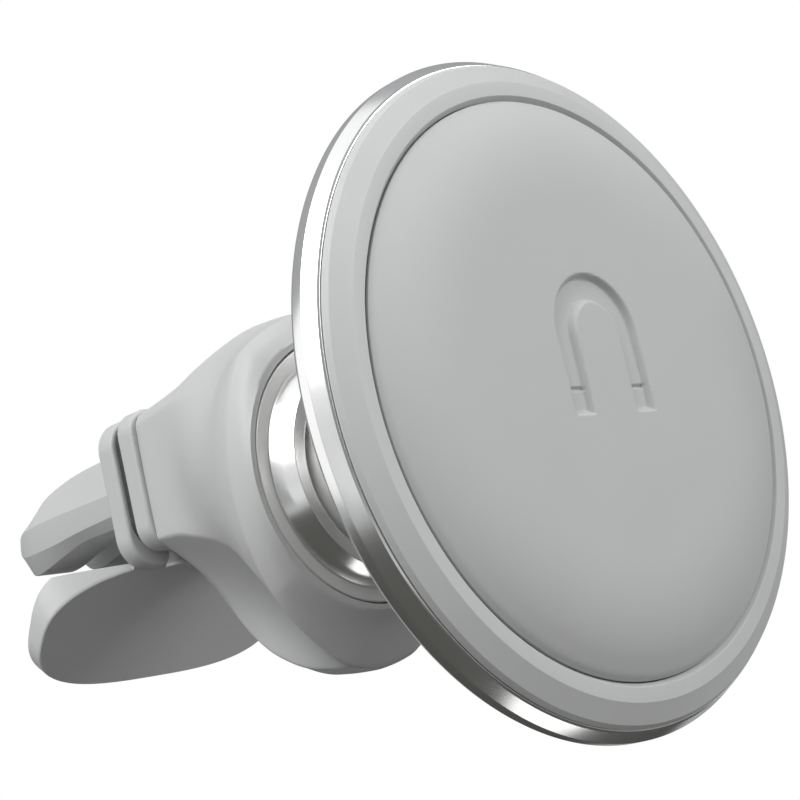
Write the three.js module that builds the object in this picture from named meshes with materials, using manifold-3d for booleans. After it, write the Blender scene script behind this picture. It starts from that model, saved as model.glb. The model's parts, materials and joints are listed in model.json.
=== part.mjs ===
// Magnetic car phone mount that grips one slat of an air vent. Millimetres, +Z up.
// The phone side faces -Y and the vent is on the +Y side. y = 0 is the rear face of the clip
// base, against which the vent slat seats; the head, ball and slat slot share the line x = z = 0.
import * as THREE from "three";
import { mergeVertices } from "three/addons/utils/BufferGeometryUtils.js";
import Module from "manifold-3d";

// ---------- driving dimensions ----------
const GAP = 0.3; // clearance left between neighbouring pieces
const RING_Y = -37.5; // front edge of the bright trim ring
const RING_R = 20; // its front radius
const PAD_R = 17.3; // soft pad
const PAD_PROUD = 2.4; // how far the pad's flat face stands in front of the ring
const LIP_R = 18.6; // outer radius of the lip round the pad
const COVER_BACK = 5.6; // rear face of the back cover, behind the ring's front edge
const BOSS_BACK = 7.2; // rear face of the cover's centre boss
const MAGNETS = 6;
const MAGNET_R = 3.7;
const MAGNET_T = 2;
const MAGNET_PITCH_R = 9.8;
const SCREW_PITCH_R = 13.8; // three head screws
const BALL_Y = -18.5; // centre of the ball joint
const BALL_R = 5.8;
const SEAT_R = BALL_R + GAP; // spherical seats round the ball
const STEM_R = 2.8;
const BORE_R = 8.9; // socket bore in the housing
const SOCKET_Y = -19; // front edge of the socket bore
const FLANGE = { halfWidth: 5.6, top: 8.9, bottom: -1.3, corner: 1.6 }; // rear end of the housing
const PLATE_Y = -4.1; // front edge of the neck's rear flange
const PLATE_BACK = -2.7;
const BASE_Y = -1.8; // front face of the clip base
const BASE = { halfWidth: 5.5, top: 8.8, bottom: -2.1, corner: 2.4 };
const SLAT_HALF = 1.15; // half the gap between the jaws at their roots
const JAW_HALF_WIDTH = 5;
const JAW_LENGTH = 12.9;
const FOOT = { halfWidth: 10.6, depth: 9.4, slope: 50, rise: 0.3, z: -1.9 };
const FOOT_THICK = { top: 2.6, bottom: 1.3 };
const HEEL_TOP = -1.45; // top of the block that carries the lower jaws
const HEEL_BACK = 4.5;

// Facets round each size of piece.
const HEAD_STEPS = 48;
const SOCKET_STEPS = 36;
const SMALL_STEPS = 14;

// ---------- materials ----------
const mat = (color, roughness, metalness) =>
  new THREE.MeshStandardMaterial({ color, roughness, metalness });
const shellPlastic = mat(0xc3c4c3, 0.5, 0);
const padSilicone = mat(0xbfc0bf, 0.7, 0);
const chrome = mat(0xe6e6e4, 0.08, 1);
const satinSilver = mat(0xb4b4b0, 0.35, 0.8);
const steel = mat(0x8f9296, 0.35, 1);
const nickel = mat(0xa9abb0, 0.25, 1);
const nylon = mat(0xdcdad2, 0.6, 0);
const darkRubber = mat(0x3a3a3c, 0.85, 0);
const jawRubber = mat(0xb9bab9, 0.75, 0);

// ---------- helpers ----------
const wasm = await Module();
wasm.setup();
const group = new THREE.Group();
const rad = THREE.MathUtils.degToRad;

function solid(geometry) {
  const bare = geometry.index ? geometry.toNonIndexed() : geometry.clone();
  for (const key of Object.keys(bare.attributes))
    if (key !== "position") bare.deleteAttribute(key);
  const merged = mergeVertices(bare, 1e-4);
  return new wasm.Manifold(
    new wasm.Mesh({
      numProp: 3,
      vertProperties: merged.attributes.position.array,
      triVerts: new Uint32Array(merged.index.array),
    }),
  );
}

function geometryOf(manifold) {
  const m = manifold.getMesh();
  const flat = new THREE.BufferGeometry();
  flat.setAttribute("position", new THREE.BufferAttribute(m.vertProperties, 3));
  flat.setIndex(new THREE.BufferAttribute(m.triVerts, 1));
  const out = flat.toNonIndexed();
  out.computeVertexNormals();
  return out;
}

const cut = (geometry, ...tools) =>
  geometryOf(tools.reduce((body, tool) => body.subtract(solid(tool)), solid(geometry)));
const join = (...pieces) =>
  geometryOf(pieces.slice(1).reduce((body, p) => body.add(solid(p)), solid(pieces[0])));

function place(name, geometry, material, x = 0, y = 0, z = 0) {
  const mesh = new THREE.Mesh(geometry, material);
  mesh.name = name;
  mesh.position.set(x, y, z);
  group.add(mesh);
  return mesh;
}

// A body of revolution about Y from [radius, y] pairs; the outer side runs towards +Y.
const turned = (profile, segments = SOCKET_STEPS) =>
  new THREE.LatheGeometry(
    profile.map(([r, y]) => new THREE.Vector2(r, y)),
    segments,
  );
const closed = (profile) => [...profile, profile[0]];
const shifted = (profile, dy) => profile.map(([r, y]) => [r, y + dy]);

// A plain cylinder along Y from y0 to y1, off the centre line by x and z.
function rod(radius, y0, y1, x = 0, z = 0, segments = SMALL_STEPS) {
  const g = new THREE.CylinderGeometry(radius, radius, y1 - y0, segments);
  return g.translate(x, (y0 + y1) / 2, z);
}

// The radius of the spherical seat round the ball at y, and its arc from y0 to y1.
const seatAt = (y) => Math.sqrt(Math.max(0, SEAT_R ** 2 - (y - BALL_Y) ** 2));
function seatArc(y0, y1, steps) {
  const ys = Array.from({ length: steps + 1 }, (_, i) => y0 + ((y1 - y0) * i) / steps);
  return ys.map((y) => [seatAt(y), y]);
}

// A skin through rings of points (all rings with the same number), capped at both ends.
function loft(rings) {
  const n = rings[0].length;
  const vertices = rings.flat();
  const faces = [];
  for (let k = 0; k + 1 < rings.length; k++)
    for (let i = 0; i < n; i++) {
      const a = k * n + i;
      const b = k * n + ((i + 1) % n);
      faces.push(a, a + n, b, b, a + n, b + n);
    }
  [0, rings.length - 1].forEach((k) => {
    const centre = new THREE.Vector3();
    rings[k].forEach((p) => centre.addScaledVector(p, 1 / n));
    const c = vertices.push(centre) - 1;
    for (let i = 0; i < n; i++) {
      const a = k * n + i;
      const b = k * n + ((i + 1) % n);
      faces.push(...(k === 0 ? [c, a, b] : [c, b, a]));
    }
  });
  const g = new THREE.BufferGeometry().setFromPoints(vertices);
  g.setIndex(faces);
  return g;
}

// A rounded rectangle in X and Z, extruded along Y from y0 to y1.
function roundedSlab(halfWidth, bottom, top, corner, y0, y1) {
  const s = new THREE.Shape();
  s.absarc(halfWidth - corner, top - corner, corner, 0, Math.PI / 2);
  s.absarc(-halfWidth + corner, top - corner, corner, Math.PI / 2, Math.PI);
  s.absarc(-halfWidth + corner, bottom + corner, corner, Math.PI, 1.5 * Math.PI);
  s.absarc(halfWidth - corner, bottom + corner, corner, 1.5 * Math.PI, 2 * Math.PI);
  const g = new THREE.ExtrudeGeometry(s, {
    depth: y1 - y0,
    bevelEnabled: false,
    curveSegments: 5,
  });
  return g.rotateX(Math.PI / 2).translate(0, y1, 0);
}

// ---------- head ----------
const ringFrame = (profile) => shifted(profile, RING_Y);

// A horseshoe magnet, the plain mark pressed into the pad.
function magnetMark(depth) {
  const s = new THREE.Shape();
  const [outer, inner, leg] = [3.6, 2, 4.6];
  s.absarc(0, 0, outer, 0, Math.PI);
  s.lineTo(-outer, -leg);
  s.lineTo(-inner, -leg);
  s.lineTo(-inner, 0);
  s.absarc(0, 0, inner, Math.PI, 0, true);
  s.lineTo(inner, -leg);
  s.lineTo(outer, -leg);
  const g = new THREE.ExtrudeGeometry(s, { depth, bevelEnabled: false, curveSegments: 10 });
  return g.rotateX(Math.PI / 2);
}
const padFront = RING_Y - PAD_PROUD;
const pad = turned(
  ringFrame([
    [0, -PAD_PROUD],
    [14.4, -PAD_PROUD],
    [15.6, -PAD_PROUD + 0.12],
    [16.5, -PAD_PROUD + 0.5],
    [17.1, -PAD_PROUD + 1.1],
    [PAD_R, -PAD_PROUD + 1.9],
    [PAD_R, -0.1],
    [0, -0.1],
  ]),
  HEAD_STEPS,
);
const mark = magnetMark(1).translate(0, padFront + 0.3, 2.5);
place("face_pad", cut(pad, mark), padSilicone);

const screwAngles = [30, 150, 270].map(rad);
const onPitch = (r, a) => [r * Math.cos(a), r * Math.sin(a)];
const shellBody = turned(
  ringFrame([
    [0, 0.2],
    [PAD_R + GAP, 0.2],
    [PAD_R + GAP, -0.85],
    [PAD_R + 0.45, -1],
    [LIP_R - 0.45, -1],
    [LIP_R, -0.8],
    [RING_R - 0.35, -0.4],
    [RING_R - 0.3, -GAP],
    [19.1, -GAP],
    [19.1, 2.5],
    [18.1, 2.5],
    [18.1, 0.9],
    [0, 0.9],
  ]),
  HEAD_STEPS,
);
const posts = screwAngles.map((a) => {
  const [x, z] = onPitch(SCREW_PITCH_R, a);
  return rod(1.7, RING_Y + 0.6, RING_Y + 4.2, x, z);
});
const postBores = screwAngles.map((a) => {
  const [x, z] = onPitch(SCREW_PITCH_R, a);
  return rod(1, RING_Y + 1.5, RING_Y + 5, x, z);
});
place("head_shell", cut(join(shellBody, ...posts), ...postBores), shellPlastic);

place(
  "trim_ring",
  turned(
    closed(
      ringFrame([
        [19.4, 0],
        [RING_R - 0.06, 0],
        [RING_R + 0.04, 0.1],
        [RING_R + 0.48, 0.82],
        [RING_R + 0.4, 0.95],
        [19.4, 0.95],
      ]),
    ),
    HEAD_STEPS,
  ),
  chrome,
);

const coverBody = turned(
  closed(
    ringFrame([
      [19.4, 1.25],
      [20.3, 1.25],
      [20.35, 1.4],
      [19.5, 2.9],
      [19, 3.4],
      [17, 4.9],
      [15.8, 5.3],
      [7.2, COVER_BACK],
      [6.2, COVER_BACK + 0.2],
      [5.4, BOSS_BACK - 0.2],
      [5.1, BOSS_BACK],
      [1.7, BOSS_BACK],
      [1.7, 4.5],
      [16, 4.5],
      [18.2, 2.85],
      [19.4, 2.85],
    ]),
  ),
  HEAD_STEPS,
);
const coverHoles = screwAngles.flatMap((a) => {
  const [x, z] = onPitch(SCREW_PITCH_R, a);
  return [
    rod(1.1, RING_Y + 4, RING_Y + 6, x, z),
    rod(2, RING_Y + 5.0, RING_Y + 6, x, z),
  ];
});
place("back_cover", cut(coverBody, ...coverHoles), satinSilver);

// The magnet carrier and the steel yoke behind it, both open round the posts and the centre.
const passHoles = screwAngles.map((a) => {
  const [x, z] = onPitch(SCREW_PITCH_R, a);
  return rod(2, RING_Y, RING_Y + 6, x, z);
});
const magnetAngles = Array.from({ length: MAGNETS }, (_, i) => (2 * Math.PI * i) / MAGNETS);
const pockets = magnetAngles.map((a) => {
  const [x, z] = onPitch(MAGNET_PITCH_R, a);
  return rod(MAGNET_R + GAP, RING_Y, RING_Y + 6, x, z, 20);
});
const ringDisc = (outer, inner, y0, y1) =>
  turned(closed(ringFrame([[inner, y0], [outer, y0], [outer, y1], [inner, y1]])), 56);
place(
  "magnet_carrier",
  cut(ringDisc(16.6, 3.2, 1.2, 1.2 + MAGNET_T), ...passHoles, ...pockets),
  darkRubber,
);
place("yoke_plate", cut(ringDisc(15.7, 3.2, 3.5, 4.2), ...passHoles), steel);
magnetAngles.forEach((a, i) => {
  const [x, z] = onPitch(MAGNET_PITCH_R, a);
  const disc = rod(MAGNET_R, RING_Y + 1.2, RING_Y + 1.2 + MAGNET_T, 0, 0, 20);
  place(`magnet_${i + 1}`, disc, nickel, x, 0, z);
});

// Round-headed screws along Y: the head starts at y0 and the shank ends at y1.
function screw(headR, headT, shankR, y0, y1, towardsVent) {
  const [a, b] = [headT, Math.abs(y1 - y0)];
  const body = turned(
    [
      [0, 0],
      [headR - 0.25, 0],
      [headR, 0.25],
      [headR, a],
      [shankR, a],
      [shankR, b - shankR / 2],
      [shankR / 2, b],
      [0, b],
    ],
    SMALL_STEPS,
  );
  const slot = new THREE.BoxGeometry(headR * 1.4, 0.7, 0.45);
  const g = cut(body, slot);
  if (!towardsVent) g.rotateX(Math.PI);
  return g.translate(0, y0, 0);
}
screwAngles.forEach((a, i) => {
  const [x, z] = onPitch(SCREW_PITCH_R, a);
  const g = screw(1.6, 0.7, 0.7, RING_Y + 6.0, RING_Y + 2, false);
  place(`head_screw_${i + 1}`, g, steel, x, 0, z);
});
place("stem_screw", screw(2.6, 1.3, 1.3, RING_Y + 2.9, BALL_Y - 7, true), steel);

// ---------- ball joint ----------
const stemFront = RING_Y + BOSS_BACK + GAP;
const stemEnd = (r) => BALL_Y - Math.sqrt(SEAT_R ** 2 - r ** 2);
place(
  "ball_stem",
  turned(
    closed([
      [1.6, stemFront],
      [4.7, stemFront],
      [4.9, stemFront + 0.3],
      [4.1, stemFront + 1.3],
      [3.3, stemFront + 2.6],
      [STEM_R, stemFront + 4],
      [STEM_R, stemEnd(STEM_R)],
      [2.2, stemEnd(2.2)],
      [1.6, stemEnd(1.6)],
    ]),
  ),
  satinSilver,
);
const ballProfile = Array.from({ length: 15 }, (_, i) => {
  const t = (Math.PI * i) / 14;
  return [i % 14 ? BALL_R * Math.sin(t) : 0, BALL_Y - BALL_R * Math.cos(t)];
});
place("ball", turned(ballProfile, 28), satinSilver);

// ---------- socket ----------
const COLLAR_FRONT = SOCKET_Y - 1.6;
const CUP_BACK = -12.3;
const collarBore = seatAt(SOCKET_Y - 0.4) + 0.05;
place(
  "socket_collar",
  turned(
    closed([
      [collarBore, COLLAR_FRONT],
      [7.1, COLLAR_FRONT],
      [7.3, COLLAR_FRONT + 0.15],
      [7.9, SOCKET_Y - 0.45],
      [7.9, SOCKET_Y - 0.35],
      [collarBore, SOCKET_Y - 0.35],
    ]),
  ),
  chrome,
);
place(
  "socket_ring",
  turned(
    closed([
      [7.3, SOCKET_Y - 0.05],
      [8.5, SOCKET_Y - 0.05],
      [8.6, SOCKET_Y + 0.05],
      [8.6, SOCKET_Y + 1.5],
      [7.3, SOCKET_Y + 1.5],
    ]),
  ),
  satinSilver,
);
const linerBore = SEAT_R + 0.05;
place(
  "front_liner",
  turned(closed([[linerBore, -18.9], [7, -18.9], [7, -17.6], [linerBore, -17.6]])),
  nylon,
);
place(
  "seat_cup",
  turned(
    closed([
      [7.4, -17.2],
      [7.4, -15.6],
      [5.7, -15.4],
      [5.7, -13.3],
      [4.1, -13.3],
      [4.1, CUP_BACK],
      [2, CUP_BACK],
      ...seatArc(-12.8, -17.2, 6),
    ]),
  ),
  nylon,
);
place(
  "spring_washer",
  turned(
    closed([
      [1.9, CUP_BACK + 0.7],
      [4.1, CUP_BACK + 0.35],
      [4.1, CUP_BACK + 0.75],
      [1.9, CUP_BACK + 1.1],
    ]),
  ),
  steel,
);

// ---------- housing ----------
// Half sections from the socket to the neck: y, then x and z of the ends of the flat top, of the
// side and of the keel, the bottom, and how far the edges above and below the side bow out
// (1 is an arc about the centre line, 0 a straight line, and below 0 the edge is hollow).
const flow = [
  [SOCKET_Y, 0, 9.2, 6.2, 6.8, 6.9, -6.1, 2.4, -8.85, -9.15, 1, 1],
  [-18.3, 0, 10.1, 6.6, 7.8, 7.8, -6.6, 2.5, -9.75, -10.05, 1, 1],
  [-17.2, 0, 11.1, 6.8, 8.3, 8.1, -6.8, 3, -11.7, -12.2, 1, 1],
  [-15.6, 1.2, 11.1, 6.6, 7.7, 8.1, -5, 3, -12.3, -12.8, 0.9, 0.6],
  [-14, 2.2, 10.9, 6.1, 7.2, 7.6, -3.6, 2.8, -12.1, -12.8, 0.7, 0.1],
  [-12, 3, 10.3, 5.7, 7.3, 6.6, -2.7, 2.4, -11.2, -12, 0.45, -0.3],
  [-10, 3.7, 9.6, 5.4, 7.6, 5.9, -2, 2.3, -9.9, -10.8, 0.25, -0.4],
  [-8, 4.1, 8.8, 5.2, 7.8, 5.5, -1.4, 2.1, -8, -8.8, 0.1, -0.4],
  [-6.2, 4.3, 8.5, 5.1, 7.8, 5.3, -0.9, 2.1, -5.8, -6.4, 0.05, -0.3],
  [-4, 4.3, 8.4, 5.1, 7.7, 5.2, -0.7, 2.4, -3, -3.2, 0.05, 0],
];
const EDGE_STEPS = 4;
const CROWN = 0.01; // the top is a touch higher on the centre line, so that no edge is flat
const FLAT_TOP = 0.3; // the least half width of the flat top
// From corner a to corner b, bowed out from the straight line by the given share.
function bowedEdge([ax, az], [bx, bz], bow) {
  const [ra, rb] = [Math.hypot(ax, az), Math.hypot(bx, bz)];
  const [ta, tb] = [Math.atan2(ax, az), Math.atan2(bx, bz)];
  return Array.from({ length: EDGE_STEPS }, (_, i) => {
    const t = i / EDGE_STEPS;
    const [r, angle] = [ra + (rb - ra) * t, ta + (tb - ta) * t];
    const arc = [r * Math.sin(angle), r * Math.cos(angle)];
    const line = [ax + (bx - ax) * t, az + (bz - az) * t];
    return line.map((v, k) => v + (arc[k] - v) * bow);
  });
}
function flowSection([y, topX, topZ, ...rest]) {
  const [shoulderX, shoulderZ, waistX, waistZ, keelX, keelZ, bottom, upperBow, lowerBow] = rest;
  const corners = [
    [0, topZ + CROWN],
    [topX + FLAT_TOP, topZ],
    [shoulderX, shoulderZ],
    [waistX, waistZ],
    [keelX, keelZ],
    [0, bottom],
  ];
  const bowOf = (i) => (i < 3 ? upperBow : lowerBow);
  const half = corners.slice(1).flatMap((b, i) => bowedEdge(corners[i], b, bowOf(i)));
  const left = [...half, [0, bottom]];
  const right = half.slice(1).reverse().map(([x, z]) => [-x, z]);
  // half runs from the top over +X to the bottom, so the ring is turned round to face out.
  return [...left, ...right].reverse().map(([x, z]) => new THREE.Vector3(x, y, z));
}
const housingSkin = loft(flow.map(flowSection));
const flangeBack = roundedSlab(
  FLANGE.halfWidth, FLANGE.bottom, FLANGE.top, FLANGE.corner, PLATE_Y, PLATE_BACK);
const socketBore = turned([
  [0, SOCKET_Y - 1],
  [BORE_R, SOCKET_Y - 1],
  [BORE_R, -17.2],
  [7.7, -17.2],
  [7.7, -15.2],
  [6, -15.2],
  [6, -13],
  [4.4, -13],
  [4.4, -10.8],
  [0, -10.8],
]);
const clipScrewAt = [-2.8, 2.8].map((x) => [x, 5.6]);
const clipScrewBores = clipScrewAt.flatMap(([x, z]) => [
  rod(2.2, -15.5, -8.9, x, z),
  rod(1.3, -9, 0, x, z),
]);
const spacer = (extra, y0, y1) =>
  roundedSlab(4.5 + extra, 0.2 - extra, 7.6 + extra, 1.6 + extra, y0, y1);
const spacerPocket = spacer(GAP, PLATE_BACK - 0.9, 0);
place(
  "housing",
  cut(join(housingSkin, flangeBack), socketBore, ...clipScrewBores, spacerPocket),
  shellPlastic,
);
const GROOVE_GAP = 0.15;
const grooveFill = roundedSlab(
  5.15, -0.45, 8.4, 1.9, PLATE_BACK + GROOVE_GAP, BASE_Y - GROOVE_GAP);
place(
  "neck_isolator",
  cut(join(spacer(0, PLATE_BACK - 0.6, BASE_Y + 0.4), grooveFill), ...clipScrewBores),
  darkRubber,
);

// ---------- clip ----------
// The inclined support foot: an oval plate whose top edge hangs from the base. It thins towards
// its lower edge, and its top corners are fuller at the back than on the front face.
const FOOT_STEPS = 40;
const FRONT_CORNER = 0.92; // 1 is an ellipse; smaller values square the corners
const BACK_CORNER = 0.66;
const LOWER_CORNER = 0.75;
const footThickness = (share) =>
  FOOT_THICK.bottom + (FOOT_THICK.top - FOOT_THICK.bottom) * share ** 2;
function footRing(grow, corner, lift) {
  const { halfWidth, depth, slope, rise, z } = FOOT;
  return Array.from({ length: FOOT_STEPS }, (_, i) => {
    const t = (2 * Math.PI * i) / FOOT_STEPS;
    const power = Math.sin(t) > 0 ? corner : LOWER_CORNER;
    const px = Math.sign(Math.cos(t)) * Math.abs(Math.cos(t)) ** power;
    const pz = Math.sign(Math.sin(t)) * Math.abs(Math.sin(t)) ** power;
    const p = new THREE.Vector3(
      px * (halfWidth + grow),
      lift((pz + 1) / 2),
      pz * (depth / 2 + grow) - depth / 2 + rise,
    );
    // The lower edge swings towards the vent.
    return p.applyAxisAngle(new THREE.Vector3(1, 0, 0), rad(90 - slope)).setZ(p.z + z);
  });
}
const footBody = loft([
  footRing(0, FRONT_CORNER, () => 0),
  footRing(0, BACK_CORNER, footThickness),
]);
const plate = roundedSlab(BASE.halfWidth, BASE.bottom, BASE.top, BASE.corner, BASE_Y, 0);
const heel = new THREE.BoxGeometry(9, HEEL_BACK + 0.5, 2.6);
heel.translate(0, (HEEL_BACK - 0.5) / 2, HEEL_TOP - 1.3);
const peg = rod(0.35, -0.5, 0.5).rotateX(Math.PI / 2).translate(0, BASE_Y - 0.25, -1.3);
// What is trimmed away: everything in front of the foot's face, and the slat's own space.
const inFront = new THREE.BoxGeometry(40, 10, 30).translate(0, -5, 0);
inFront.rotateX(rad(90 - FOOT.slope)).translate(0, 0, FOOT.z);
const slatSpace = new THREE.BoxGeometry(40, 20, 20).translate(0, 10, HEEL_TOP + 10);
const lowerClip = cut(join(heel, footBody), inFront, slatSpace);
const jawPinAt = [
  [2.7, 2.9],
  [-2.7, 2.9],
  [2.7, -2.7],
  [-2.7, -2.7],
];
const pinHoles = jawPinAt.map(([x, z]) => rod(0.9, z > 0 ? -1.2 : 2.1, 8, x, z));
place(
  "clip_base",
  cut(
    join(plate, peg, lowerClip),
    ...clipScrewAt.map(([x, z]) => rod(1.3, -4, -0.5, x, z)),
    spacer(GAP, -4, BASE_Y + 0.7),
    ...pinHoles,
  ),
  shellPlastic,
);
const PAD_INSET = 0.9;
const PAD_THICK = 0.8;
const footPad = loft([
  footRing(-PAD_INSET, LOWER_CORNER, (share) => footThickness(share) + GAP),
  footRing(-PAD_INSET, LOWER_CORNER, (share) => footThickness(share) + GAP + PAD_THICK),
]);
const lowPad = new THREE.BoxGeometry(40, 40, 10).translate(0, 0, -10.2);
place("foot_pad", geometryOf(solid(footPad).intersect(solid(lowPad))), darkRubber);
clipScrewAt.forEach(([x, z], i) => {
  place(`clip_screw_${i + 1}`, screw(1.8, 1.1, 1, -10.2, -0.8, true), steel, x, 0, z);
});

// A jaw is a finger of rubber: [y, inner z, lower side z, upper side z, crest z, half width].
function jaw(stations, side, sign) {
  const rings = stations.map(([y, inner, low, high, crest, half]) => {
    const points = [
      [SLAT_HALF, inner],
      [half - 0.6, inner],
      [half, low],
      [half, high],
      [half - 1.7, crest],
      [SLAT_HALF, crest],
    ].map(([x, z]) => new THREE.Vector3(x * side, y, z * sign));
    return side * sign > 0 ? points : points.reverse();
  });
  return loft(rings);
}
const upperJaw = [
  [GAP, SLAT_HALF, 2, 3.5, 6.4, JAW_HALF_WIDTH],
  [4.8, SLAT_HALF, 1.8, 3.5, 6.3, JAW_HALF_WIDTH],
  [7.4, 0.7, 1.6, 3.5, 6, JAW_HALF_WIDTH],
  [10.2, 0.1, 1.5, 3.4, 5.3, JAW_HALF_WIDTH],
  [11.9, 0.2, 1.6, 3.2, 4.3, JAW_HALF_WIDTH - 0.4],
  [JAW_LENGTH, 1, 1.9, 2.5, 2.9, JAW_HALF_WIDTH - 0.9],
];
const lowerFront = HEEL_BACK + GAP;
const lowerJaw = [
  [lowerFront, SLAT_HALF, 1.9, 2.7, 4, JAW_HALF_WIDTH],
  [7.4, 0.7, 1.7, 2.6, 3.8, JAW_HALF_WIDTH],
  [9.6, 1.3, 1.6, 2, 2.4, JAW_HALF_WIDTH - 0.6],
];
const jawNames = ["upper_right", "upper_left", "lower_right", "lower_left"];
jawPinAt.forEach(([x, z], i) => {
  const up = z > 0;
  const body = jaw(up ? upperJaw : lowerJaw, Math.sign(x), up ? 1 : -1);
  const bore = rod(0.9, -1, up ? 8.6 : 7.2, x, z);
  place("jaw_" + jawNames[i], cut(body, bore), jawRubber);
  const pin = rod(0.6, up ? -0.9 : 2.4, up ? 8.2 : 6.8, 0, 0);
  place("jaw_pin_" + jawNames[i], pin, steel, x, 0, z);
});

export default group;
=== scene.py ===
"""Looks for the magnetic car phone mount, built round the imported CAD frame.

Lengths in this file are millimetres and are turned into metres when a mesh is made.
The phone side faces -Y, the vent is on the +Y side, and Z is up.
"""

import bisect
import json
import math

import bmesh
import bpy
from mathutils import Matrix, Vector


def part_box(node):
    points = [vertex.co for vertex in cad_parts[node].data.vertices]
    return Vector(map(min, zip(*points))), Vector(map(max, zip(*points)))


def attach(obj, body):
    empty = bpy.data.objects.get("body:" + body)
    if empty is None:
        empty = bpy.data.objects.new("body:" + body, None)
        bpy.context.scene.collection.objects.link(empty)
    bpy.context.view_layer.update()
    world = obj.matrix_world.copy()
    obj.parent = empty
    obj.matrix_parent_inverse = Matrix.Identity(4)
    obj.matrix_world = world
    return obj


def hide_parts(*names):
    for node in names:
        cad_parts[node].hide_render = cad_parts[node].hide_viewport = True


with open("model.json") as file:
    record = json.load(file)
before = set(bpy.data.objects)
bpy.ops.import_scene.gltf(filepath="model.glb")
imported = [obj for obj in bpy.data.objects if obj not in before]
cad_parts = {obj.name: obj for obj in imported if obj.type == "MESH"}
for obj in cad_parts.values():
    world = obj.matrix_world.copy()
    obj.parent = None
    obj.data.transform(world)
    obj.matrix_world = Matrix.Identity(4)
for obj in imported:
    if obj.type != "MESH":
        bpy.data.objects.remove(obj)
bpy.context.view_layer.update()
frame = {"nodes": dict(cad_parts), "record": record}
MM = 0.001
X, Y = 0, 1


# ---------------------------------------------------------------- places taken from the frame
def low(node, axis):
    """Where a CAD node begins on one axis, in millimetres."""
    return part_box(node)[0][axis] / MM


def high(node, axis):
    """Where a CAD node ends on one axis, in millimetres."""
    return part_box(node)[1][axis] / MM


RING_Y = low("trim_ring", Y)  # front edge of the bright ring
RING_R = high("trim_ring", X)  # its widest radius
PAD_FRONT = low("face_pad", Y)
PAD_R = high("face_pad", X)
COVER_R = high("back_cover", X)
BALL_Y = (low("ball", Y) + high("ball", Y)) / 2
BALL_R = (high("ball", Y) - low("ball", Y)) / 2
SEAM_Y = low("housing", Y)  # front edge of the housing, at the socket
PLATE_BACK = high("housing", Y)  # back of the housing's flange
ISOLATOR_LAP = 0.4  # how far the isolator sinks into the clip base
BASE_FRONT = high("neck_isolator", Y) - ISOLATOR_LAP
GAP = 0.3  # round the ball, and between the foot and its rubber


# ---------------------------------------------------------------- mesh helpers
ON_AXIS = 1e-6  # a point nearer than this to the axis is on it
CORNER_SHARE = 0.45  # a rounded corner takes at most this share of a side
LEAST_HALF_ANGLE = 0.05  # radians; it bounds the reach of a very sharp corner


def mesh_object(name, vertices, faces):
    """An object from vertices in millimetres, with its faces turned outward."""
    me = bpy.data.meshes.new(name)
    me.from_pydata([(x * MM, y * MM, z * MM) for x, y, z in vertices], [], faces)
    bm = bmesh.new()
    bm.from_mesh(me)
    bmesh.ops.recalc_face_normals(bm, faces=bm.faces)
    bm.to_mesh(me)
    bm.free()
    obj = bpy.data.objects.new(name, me)
    bpy.context.scene.collection.objects.link(obj)
    return obj


def piece(obj, slot, body, *nodes, crease=35, padded=None):
    """Shades and paints one finished piece, hangs it on its body and hides the CAD nodes it replaces.
    """
    me = obj.data
    me.materials.clear()
    me.materials.append(MATERIALS[slot])
    me.shade_smooth()
    me.set_sharp_from_angle(angle=math.radians(crease))
    weighted = obj.modifiers.new("weighted", "WEIGHTED_NORMAL")
    weighted.keep_sharp = True
    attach(obj, body)
    if nodes:
        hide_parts(*nodes)
    return obj


def filleted(points, radius, steps=4):
    """A closed 2-D outline with rounded corners. A point's third value is its own radius."""
    out = []
    for i, point in enumerate(points):
        corner = Vector(point[:2])
        own = point[2] if len(point) > 2 else radius
        if own <= 0 or corner.x < ON_AXIS:
            out.append(tuple(corner))
            continue
        before = Vector(points[i - 1][:2]) - corner
        after = Vector(points[(i + 1) % len(points)][:2]) - corner
        half_angle = max(before.angle(after) / 2, LEAST_HALF_ANGLE)
        most = CORNER_SHARE * min(before.length, after.length)
        reach = min(own / math.tan(half_angle), most)
        a = corner + before.normalized() * reach
        b = corner + after.normalized() * reach
        for k in range(steps + 1):
            t = k / steps
            out.append(tuple(a * (1 - t) ** 2 + corner * 2 * t * (1 - t) + b * t ** 2))
    return out


def lathe(name, outline, steps=176, radius=0.06, at=(0, 0), corner_steps=4):
    """A body of revolution about a line along Y from a closed (r, y) outline."""
    outline = filleted(outline, radius, corner_steps)
    vertices, rings = [], []
    for r, y in outline:
        if r < ON_AXIS:
            rings.append([len(vertices)])
            vertices.append((at[0], y, at[1]))
            continue
        rings.append(range(len(vertices), len(vertices) + steps))
        for k in range(steps):
            a = 2 * math.pi * k / steps
            vertices.append((at[0] + r * math.cos(a), y, at[1] + r * math.sin(a)))
    faces = []
    for one, two in zip(rings, rings[1:] + rings[:1]):
        if len(one) == 1 and len(two) == 1:
            continue
        for k in range(steps):
            n = (k + 1) % steps
            corners = [one[k % len(one)], one[n % len(one)], two[n % len(two)], two[k % len(two)]]
            faces.append(tuple(dict.fromkeys(corners)))
    return mesh_object(name, vertices, faces)


def skin(name, rings):
    """A closed skin through rings of 3-D points, with a flat face over each end."""
    n = len(rings[0])
    vertices = [p for ring in rings for p in ring]
    faces = []
    for k in range(len(rings) - 1):
        for i in range(n):
            a, b = k * n + i, k * n + (i + 1) % n
            faces.append((a, b, b + n, a + n))
    faces.append(tuple(range(n)))
    faces.append(tuple(range((len(rings) - 1) * n, len(rings) * n)))
    return mesh_object(name, vertices, faces)


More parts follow.
